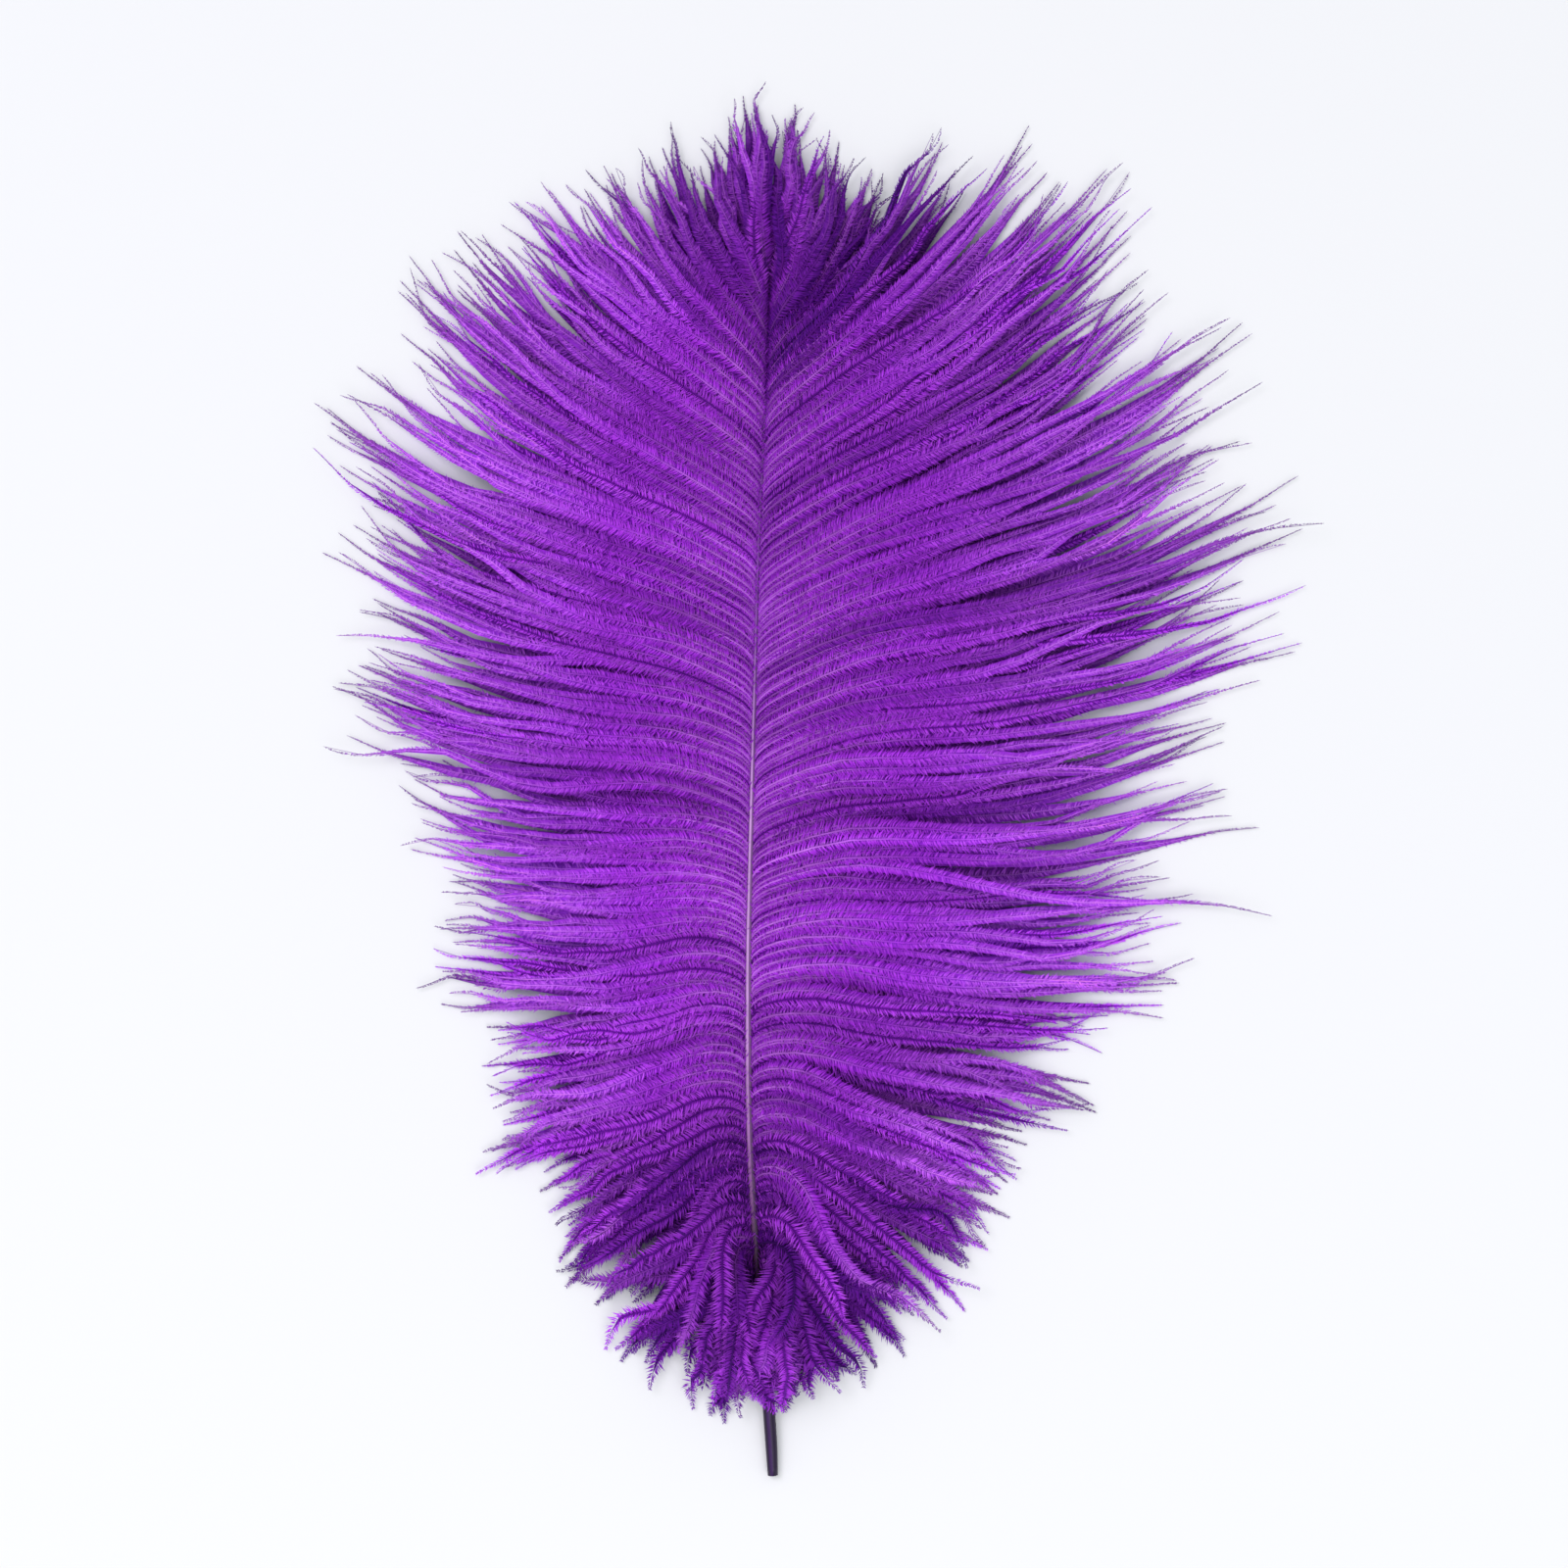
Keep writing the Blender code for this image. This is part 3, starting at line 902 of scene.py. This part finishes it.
def uneven_dye() -> Tree:
    """The group that lightens and darkens a colour, as dye takes unevenly.

    Its inputs are the colour, the place, the pattern's scale and its strength. It puts out the colour.

    Returns:
        The node group.
    """
    group = bpy.data.node_groups.new("uneven dye", "ShaderNodeTree")
    kinds = {"Color": "Color", "Place": "Vector", "Scale": "Float", "Strength": "Float"}
    for name, kind in kinds.items():
        group.interface.new_socket(name, in_out="INPUT", socket_type=f"NodeSocket{kind}")
    group.interface.new_socket("Color", in_out="OUTPUT", socket_type="NodeSocketColor")
    given = node(group, "NodeGroupInput").outputs
    noise = node(group, "ShaderNodeTexNoise",
                 {"Vector": given["Place"], "Scale": given["Scale"], "Detail": 3.0})
    centred = calc(group, "SUBTRACT", noise.outputs["Fac"], 0.5)
    bright = calc(group, "ADD", calc(group, "MULTIPLY", centred, given["Strength"]), 1.0)
    inputs = {0: scaled(group, given["Color"], bright), 1: (1.0, 1.0, 1.0)}
    held = node(group, "ShaderNodeVectorMath", inputs, operation="MINIMUM")
    result = node(group, "NodeGroupOutput")
    group.links.new(held.outputs[0], result.inputs["Color"])
    return group


@dataclass(frozen=True)
class BarbFinish:
    """Violet-dyed barbs, each a little different, with a dark ramus or one with a painted highlight, and
    painted shade towards the barbule tips, on the webs and on low-lying barbs.
    """

    dye: Tree
    dye_scale: float = 26.0
    dye_strength: float = 1.1
    # Painted shade, as shares the colour keeps: towards a barbule's tip and on a web, where barbs shade
    # one another
    shade: tuple = (0.74, 0.52, 0.82)
    web: tuple = (0.66, 0.38, 0.8)
    # A dark ramus; on the webs of barbs with a dark ramus it is painted shade
    deep: tuple = (0.13, 0.005, 0.3)
    body: tuple = (0.41, 0.036, 0.72)
    outer: tuple = (0.48, 0.105, 0.74)
    # A painted highlight on the ramus, near the root and towards the tips
    light: tuple = (0.66, 0.2, 0.9)
    end: tuple = (0.16, 0.05, 0.26)
    downy_tip: tuple = (0.5, 0.085, 0.8)
    # Random tone and painted shade: what the colour keeps on the barbs that lie lowest or are darkest, on
    # those between and on the top ones
    covered_shade: tuple = (0.17, 0.04, 0.25)
    middling: tuple = (0.64, 0.55, 0.67)
    open: tuple = (1.0, 1.0, 1.0)
    # Across the map, where the painted highlight on the ramus starts to fade and where it has gone
    ridge: tuple = (0.16, 0.4)
    # How far along the map the colour gains, and what it is scaled by at the two ends of that
    gains_until: float = 0.7
    gain: tuple = (0.93, 1.5)
    roughness: float = 0.6
    specular: float = 0.08
    sheen: float = 0.12
    sheen_roughness: float = 0.4
    sheen_tint: tuple = (0.7, 0.25, 1.0, 1.0)

    def material(self) -> bpy.types.Material:
        """Builds the material, which reads the barb's own map.

        Returns:
            The material.
        """
        material, tree, shader = new_material("violet barbs")
        chart = parts_of(tree, node(tree, "ShaderNodeUVMap", uv_map="OFBake").outputs[0])
        along = chart["X"]
        bands = calc(tree, "MULTIPLY", chart["Y"], float(TONE_ROWS))
        across = calc(tree, "FRACT", bands)
        tone_number = calc(tree, "FLOOR", bands)
        odd = calc(tree, "MODULO", tone_number, 2.0)
        tone = calc(tree, "DIVIDE", tone_number, TONE_ROWS - 1.0)
        # A painted highlight along the ramus, near the root and again towards the tips
        ridge_highlight = ramp(tree, along, (
            (0.0, self.light), (0.1, self.light), (0.3, self.body), (0.42, self.outer),
            (0.58, self.light), (0.66, self.light), (0.81, self.end)))
        blade = ramp(tree, along, (
            (0.25, self.body), (0.55, self.outer), (0.66, self.outer), (0.81, self.end)))
        # Painted shade towards a barbule's tip and on the web
        fading = ramp(tree, across, (
            (0.0, self.open), (0.34, self.open), (0.78, self.shade), (0.84, self.web)))
        ridge_highlight_mask = mapped(tree, across, *self.ridge, 1.0, 0.0)
        highlit_ramus_colour = mixed(tree, ridge_highlight_mask, tinted(tree, blade, fading), ridge_highlight)
        # A dark ramus, with painted shade on its web
        dark_ramus = ramp(tree, across, (
            (0.0, self.deep), (0.1, self.deep), (0.26, self.body), (0.78, self.downy_tip),
            (0.84, self.deep)))
        colour = mixed(tree, odd, highlit_ramus_colour, dark_ramus)
        # Tone rows darken the colour, with less green in the dark: random tone and painted shade on
        # low-lying barbs
        tone_and_shade_tint = ramp(tree, tone, ((0.0, self.covered_shade), (0.5, self.middling), (1.0, self.open)))
        outward = mapped(tree, along, 0.0, self.gains_until, *self.gain)
        toned = scaled(tree, tinted(tree, colour, tone_and_shade_tint), outward)
        place = node(tree, "ShaderNodeCombineXYZ", {0: along, 1: tone_number, 2: 0.0})
        final = dyed(tree, self.dye, toned, place.outputs[0], self.dye_scale, self.dye_strength)
        tree.links.new(final, shader.inputs["Base Color"])
        shader.inputs["Roughness"].default_value = self.roughness
        shader.inputs["Specular IOR Level"].default_value = self.specular
        shader.inputs["Sheen Weight"].default_value = self.sheen
        shader.inputs["Sheen Roughness"].default_value = self.sheen_roughness
        shader.inputs["Sheen Tint"].default_value = self.sheen_tint
        return material


@dataclass(frozen=True)
class ShaftFinish:
    """Dyed horn: near-black violet on the quill, pale mauve along the vane and deep violet at its end,
    with painted shade all round but for a pale line along its top.
    """

    dye: Tree
    line: ShaftLine
    quill: tuple = (0.036, 0.008, 0.075)
    wine: tuple = (0.05, 0.008, 0.05)
    plum: tuple = (0.26, 0.09, 0.3)
    mauve: tuple = (0.52, 0.27, 0.6)
    violet: tuple = (0.2, 0.03, 0.34)
    # Painted shade around the shaft, as shares, and the pale line along its top, which is paler dye with
    # a painted highlight
    band: tuple = (0.3, 0.22, 0.34)
    ridge: tuple = (1.0, 1.0, 1.0)
    grain: tuple = (900.0, 40.0, 900.0)
    dye_scale: float = 1.0
    dye_strength: float = 0.7
    streak_scale: float = 1.6
    # The least and the most
    roughness: tuple = (0.26, 0.5)
    specular: float = 0.32
    bump_strength: float = 0.25
    bump_depth: float = 0.0001

    def material(self) -> bpy.types.Material:
        """Builds the material, which reads Object coordinates along the feather.

        Returns:
            The material.
        """
        material, tree, shader = new_material("dyed horn")
        place = node(tree, "ShaderNodeTexCoord").outputs["Object"]
        start = self.line.quill_end[1] * MM
        end = start + self.line.route[-1][0] * MM
        colour = ramp(tree, mapped(tree, parts_of(tree, place)["Y"], start, end), (
            (0.0, self.quill), (0.13, self.quill), (0.19, self.wine), (0.26, self.plum),
            (0.4, self.mauve), (0.55, self.mauve), (0.72, self.violet), (1.0, self.violet)))
        grain = node(tree, "ShaderNodeMapping", {0: place, "Scale": self.grain}).outputs[0]
        chart = parts_of(tree, node(tree, "ShaderNodeUVMap", uv_map="OFBake").outputs[0])
        # Painted shade all round the shaft but for a pale line on top, partly paler dye and partly a
        # painted highlight
        bands = ramp(tree, chart["Y"], (
            (0.0, self.band), (0.22, self.band), (0.25, self.ridge), (0.31, self.ridge),
            (0.35, self.band)))
        shaded_with_pale_line = tinted(tree, colour, bands)
        final = dyed(tree, self.dye, shaded_with_pale_line, grain, self.dye_scale, self.dye_strength)
        tree.links.new(final, shader.inputs["Base Color"])
        streaks = node(tree, "ShaderNodeTexNoise", {"Vector": grain, "Scale": self.streak_scale})
        rough = mapped(tree, streaks.outputs["Fac"], 0.0, 1.0, *self.roughness)
        tree.links.new(rough, shader.inputs["Roughness"])
        shader.inputs["Specular IOR Level"].default_value = self.specular
        bump = node(tree, "ShaderNodeBump",
                    {"Height": streaks.outputs["Fac"], "Strength": self.bump_strength,
                     "Distance": self.bump_depth})
        tree.links.new(bump.outputs[0], shader.inputs["Normal"])
        return material


@dataclass(frozen=True)
class Studio:
    """The pale floor, the soft light and the camera straight above."""

    frame_width: float = 528.0
    view_centre: tuple = (-9.2, 1.0)
    focus_height: float = 15.0
    lens: float = 80.0
    sensor: float = 36.0
    floor_colour: tuple = (0.752, 0.758, 0.764)
    # Painted light on the floor: what its colour keeps at the picture's lower edge and at its upper edge,
    # as shares, brighter below as if lit more there
    floor_painted_falloff: tuple = (1.025, 0.98)
    floor_roughness: float = 0.9
    # In metres
    floor_size: float = 16.0
    floor_height: float = -0.0001
    # Each lamp's name, place and side in metres, watts and colour
    lamps: tuple = (
        ("key", (-2.0, 1.5, 3.7), 2.4, 95.4, (0.943, 0.877, 1.0)),
        ("fill", (0.9, -2.1, 2.6), 2.4, 41.3, (0.925, 0.869, 1.0)),
    )
    room_colour: tuple = (0.93, 0.988, 0.957, 1.0)
    room_strength: float = 0.75

    def floor(self) -> bpy.types.Object:
        """Makes the floor, which isn't part of the object, with painted light that brightens it towards
        the picture's lower edge.
        """
        bpy.ops.mesh.primitive_plane_add(size=self.floor_size, location=(0.0, 0.0, self.floor_height))
        floor = bpy.context.object
        floor.name = "floor"
        material, tree, shader = new_material("pale floor")
        place = node(tree, "ShaderNodeTexCoord").outputs["Object"]
        # Painted light: the floor's colour grows brighter towards the picture's lower edge
        edge = self.frame_width * MM / 2.0
        share = mapped(tree, parts_of(tree, place)["Y"], -edge, edge, *self.floor_painted_falloff)
        painted_falloff = scaled(tree, self.floor_colour, share)
        tree.links.new(painted_falloff, shader.inputs["Base Color"])
        shader.inputs["Roughness"].default_value = self.floor_roughness
        floor.data.materials.append(material)
        return floor

    def lights(self) -> None:
        """Adds the soft square lights, which point at the feather."""
        for name, place, size, watts, colour in self.lamps:
            data = bpy.data.lights.new(name, "AREA")
            data.size = size
            data.energy = watts
            data.color = colour
            lamp = bpy.data.objects.new(name, data)
            lamp.location = place
            lamp.rotation_euler = (-lamp.location).to_track_quat("-Z", "Y").to_euler()
            bpy.context.scene.collection.objects.link(lamp)

    def build(self) -> None:
        """Makes the whole stage."""
        self.floor()
        self.lights()
        world = bpy.data.worlds.new("pale room")
        world.use_nodes = True
        background = world.node_tree.nodes["Background"]
        background.inputs["Color"].default_value = self.room_colour
        background.inputs["Strength"].default_value = self.room_strength
        bpy.context.scene.world = world
        bpy.context.scene.view_settings.view_transform = "Standard"
        data = bpy.data.cameras.new("camera")
        data.lens = self.lens
        data.sensor_width = self.sensor
        camera = bpy.data.objects.new("camera", data)
        distance = self.frame_width * self.lens / self.sensor + self.focus_height
        camera.location = (self.view_centre[0] * MM, self.view_centre[1] * MM, distance * MM)
        bpy.context.scene.collection.objects.link(camera)
        bpy.context.scene.camera = camera


def attach(piece: bpy.types.Object, material: bpy.types.Material) -> None:
    """Gives a piece its finish and ties it to the frame, in place of the plain solid.

    Args:
        piece: The piece.
        material: The piece's material.
    """
    piece.data.materials.append(material)
    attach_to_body(piece, "root")
    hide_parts("feather")
    LOG.info("%s: %d triangles", piece.name, len(piece.data.polygons))


def main() -> None:
    """Builds the feather and its stage."""
    logging.basicConfig(level=logging.INFO, format="%(message)s")
    line = ShaftLine()
    dye = uneven_dye()
    barbs = BarbFinish(dye).material()
    attach(Shaft(line).build(), ShaftFinish(dye, line).material())
    for side in Side:
        vane = Vane(side, line, VaneFlow(), Strand(), Chance(), Tone())
        for reach in Reach:
            attach(vane.piece(reach), barbs)
    Studio().build()


if __name__ == "__main__":
    main()
